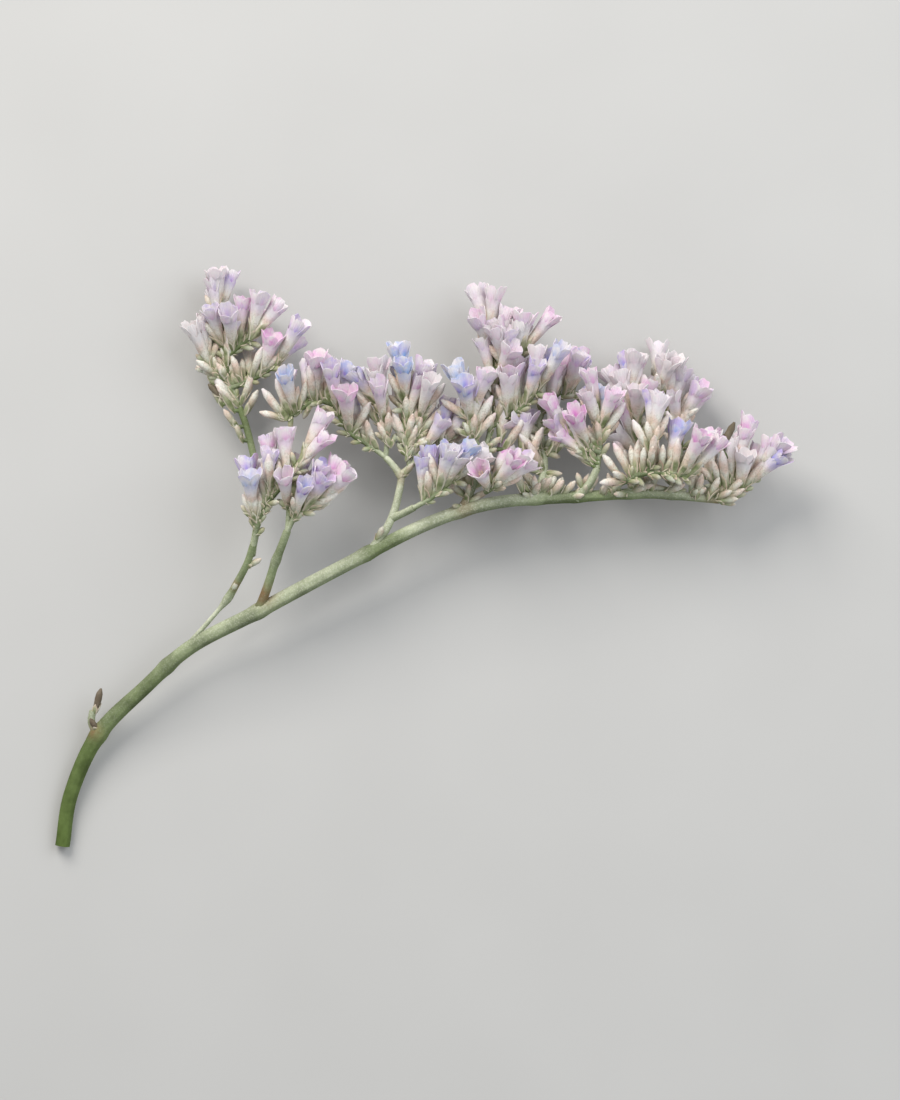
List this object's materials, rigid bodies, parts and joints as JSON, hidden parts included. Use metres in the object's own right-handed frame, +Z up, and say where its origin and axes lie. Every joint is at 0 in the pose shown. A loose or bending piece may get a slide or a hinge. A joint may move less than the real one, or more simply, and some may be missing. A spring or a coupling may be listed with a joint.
{
  "type": "dried statice branch",
  "caption": "Arching dried statice branch with side stalks and small papery trumpet florets, cut and laid flat.",
  "frame": {"origin": "on the surface that the branch lies on, under the middle of its bounding box", "axes": "+X along the branch from its cut end to its tip, +Y to the side that the flowers grow on, +Z up, across the thickness of the lying branch"},
  "size_m": [0.0898, 0.0706, 0.0156],
  "materials": {
    "stem": "matt dried green stem",
    "flowers": "thin papery petals, white to lilac and pink"
  },
  "bodies": {
    "root": {"stem": "stem", "flower_head_01": "flowers", "flower_head_02": "flowers", "flower_head_03": "flowers", "flower_head_04": "flowers", "flower_head_05": "flowers", "flower_head_06": "flowers", "flower_head_07": "flowers", "flower_head_08": "flowers", "flower_head_09": "flowers", "flower_head_10": "flowers", "flower_head_11": "flowers", "flower_head_12": "flowers", "flower_head_13": "flowers", "flower_head_14": "flowers", "flower_head_15": "flowers", "flower_head_16": "flowers", "flower_head_17": "flowers"}
  },
  "joints": []
}
